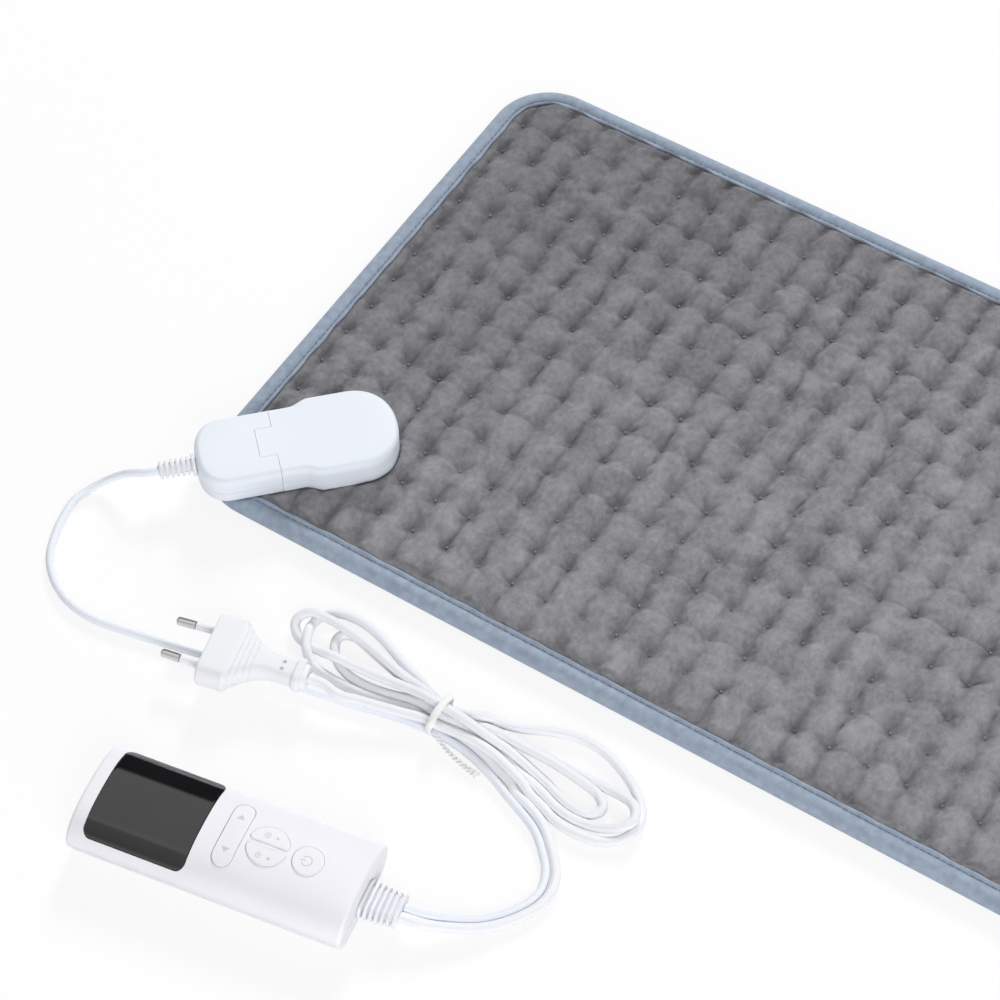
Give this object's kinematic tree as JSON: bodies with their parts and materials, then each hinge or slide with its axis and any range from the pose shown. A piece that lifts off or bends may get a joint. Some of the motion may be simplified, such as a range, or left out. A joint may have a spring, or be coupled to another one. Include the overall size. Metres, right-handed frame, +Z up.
{
  "type": "heating pad with controller",
  "caption": "Quilted electric heating pad with bound edge, pull-off corner connector, hand controller with display and buttons, and a tied mains cord with a flat two-pin plug.",
  "frame": {"origin": "centre of the pad's underside", "axes": "+X along the pad's long side away from the connector, +Y across the pad away from the cords, +Z up out of the heated face"},
  "size_m": [0.6374, 0.4806, 0.0225],
  "materials": {
    "cover_plush": "short plush, sewn in small tufts",
    "back_plush": "thin brushed backing",
    "fleece": "non-woven felt",
    "wire_jacket": "silicone wire jacket",
    "binding_tape": "brushed tape folded over the edge and sewn",
    "white_plastic": "moulded white plastic, satin",
    "white_rubber": "moulded soft white plastic",
    "white_cord": "round white cord jacket",
    "steel": "nickel-plated metal",
    "brass": "plated contact metal",
    "dark_plastic": "dark moulded plastic",
    "circuit_board": "coated circuit board",
    "window_glass": "black glossy display window",
    "tie_paper": "paper-covered twist tie"
  },
  "bodies": {
    "pad": {"pad_top_cover": "cover_plush", "pad_back_cover": "back_plush", "wire_carrier": "fleece", "heating_wire": "wire_jacket", "thermal_cutout": "white_plastic", "edge_binding": "binding_tape", "pad_lead_1": "wire_jacket", "pad_lead_2": "wire_jacket", "socket_top_shell": "white_plastic", "socket_base_shell": "white_plastic", "socket_clamp_plate": "white_plastic", "clamp_screw_1": "steel", "clamp_screw_2": "steel", "clamp_screw_3": "steel", "socket_contact_block": "dark_plastic", "contact_pin_1": "brass", "contact_pin_2": "brass", "contact_pin_3": "brass"},
    "cordset": {"connector_top_shell": "white_plastic", "connector_bottom_shell": "white_plastic", "connector_screw_1": "steel", "connector_screw_2": "steel", "sleeve_block": "dark_plastic", "contact_sleeve_1": "brass", "contact_sleeve_2": "brass", "contact_sleeve_3": "brass", "connector_strain_relief": "white_rubber", "handset_top_shell": "white_plastic", "handset_bottom_shell": "white_plastic", "handset_screw_1": "steel", "handset_screw_2": "steel", "handset_screw_3": "steel", "handset_screw_4": "steel", "display_window": "window_glass", "display_module": "dark_plastic", "control_board": "circuit_board", "power_relay": "dark_plastic", "film_capacitor": "dark_plastic", "tact_switch_1": "dark_plastic", "tact_switch_2": "dark_plastic", "tact_switch_3": "dark_plastic", "tact_switch_4": "dark_plastic", "tact_switch_5": "dark_plastic", "rocker_bracket": "white_plastic", "rocker_pin": "steel", "handset_strain_relief": "white_rubber", "mains_plug_body": "white_rubber", "plug_bridge": "white_plastic", "plug_pin_1": "steel", "plug_pin_2": "steel", "pad_cord": "white_cord", "mains_cord_lead": "white_cord", "mains_cord_hank": "white_cord", "mains_cord_tail": "white_cord", "cord_tie": "tie_paper"},
    "rocker": {"level_rocker": "white_plastic"},
    "heat_key": {"heat_button": "white_plastic"},
    "timer_key": {"timer_button": "white_plastic"},
    "power_key": {"power_button": "white_plastic"}
  },
  "joints": [
    {"name": "connector_pull", "type": "slide", "parent": "pad", "child": "cordset", "axis": [-0.7071, -0.7071, 0], "range_m": [0, 0.025]},
    {"name": "level_rock", "type": "hinge", "parent": "cordset", "child": "rocker", "pos_m": [-0.16686, -0.29483, 0.0164], "axis": [0.986, 0.1668, 0], "range_deg": [-2.5, 2.5], "stiffness_Nm_per_rad": 0.05},
    {"name": "heat_press", "type": "slide", "parent": "cordset", "child": "heat_key", "axis": [0, 0, -1], "range_m": [0, 0.0005], "stiffness_N_per_m": 600, "springref_m": -0.001},
    {"name": "timer_press", "type": "slide", "parent": "cordset", "child": "timer_key", "axis": [0, 0, -1], "range_m": [0, 0.0005], "stiffness_N_per_m": 600, "springref_m": -0.001},
    {"name": "power_press", "type": "slide", "parent": "cordset", "child": "power_key", "axis": [0, 0, -1], "range_m": [0, 0.0005], "stiffness_N_per_m": 600, "springref_m": -0.001}
  ]
}
